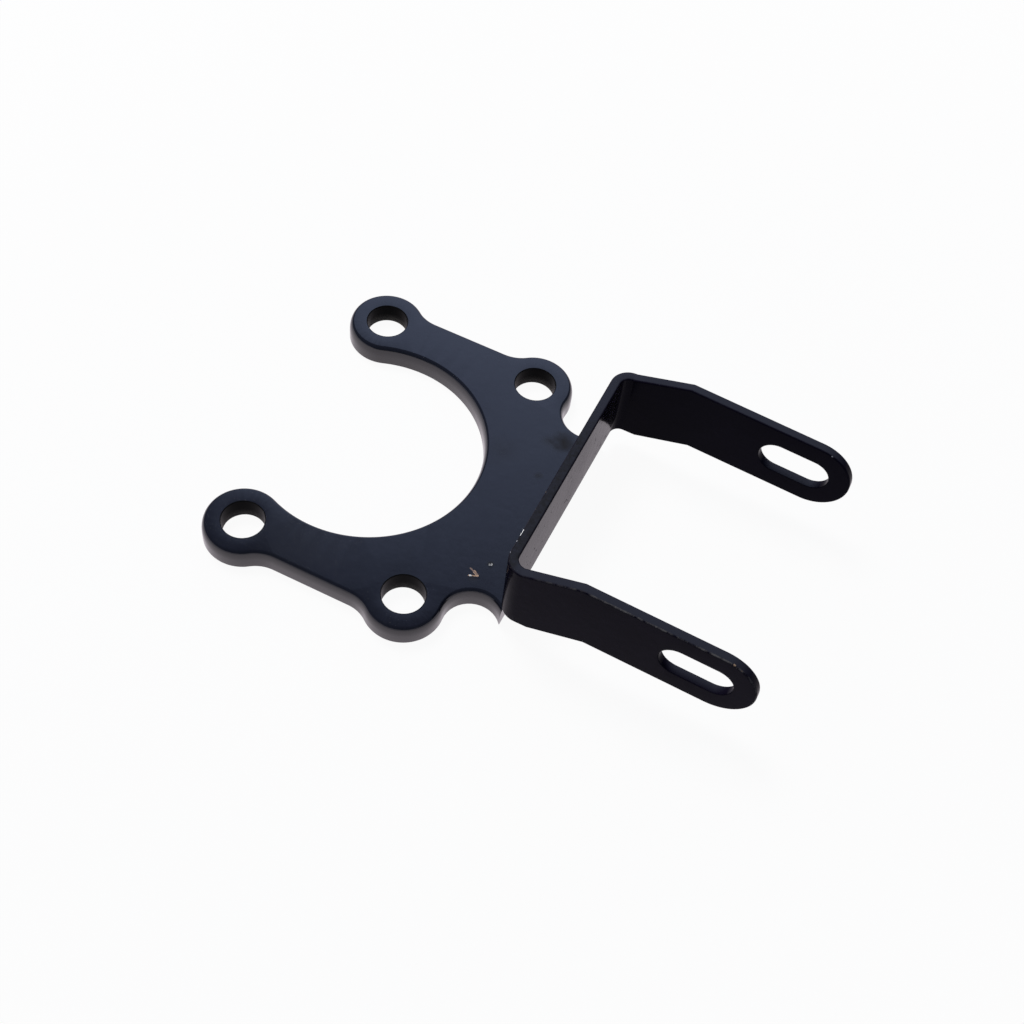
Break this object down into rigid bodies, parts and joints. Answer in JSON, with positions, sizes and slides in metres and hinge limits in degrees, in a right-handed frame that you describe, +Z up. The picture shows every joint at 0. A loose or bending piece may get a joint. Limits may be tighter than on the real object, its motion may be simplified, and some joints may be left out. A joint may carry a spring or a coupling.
{
  "type": "headlight mounting bracket",
  "caption": "Flat yoke plate with a round cut-out and bolt ears, and an upright bent strap whose two dog-legged arms end in rounded, slotted tips.",
  "frame": {"origin": "centre of the four bolt holes, on the plate's underside", "axes": "+Z up, normal to the plate; +X from the plate to the ends of the arms; +Y to one side"},
  "size_m": [0.1105, 0.0744, 0.0247],
  "materials": {
    "plate_paint": "semi-gloss black paint, lightly dusty",
    "strap_paint": "semi-gloss black paint, rubbed thin along the edges",
    "weld_paint": "black paint over a weld bead"
  },
  "bodies": {
    "root": {"mounting_plate": "plate_paint", "lamp_strap": "strap_paint", "weld_bead": "weld_paint"}
  },
  "joints": []
}
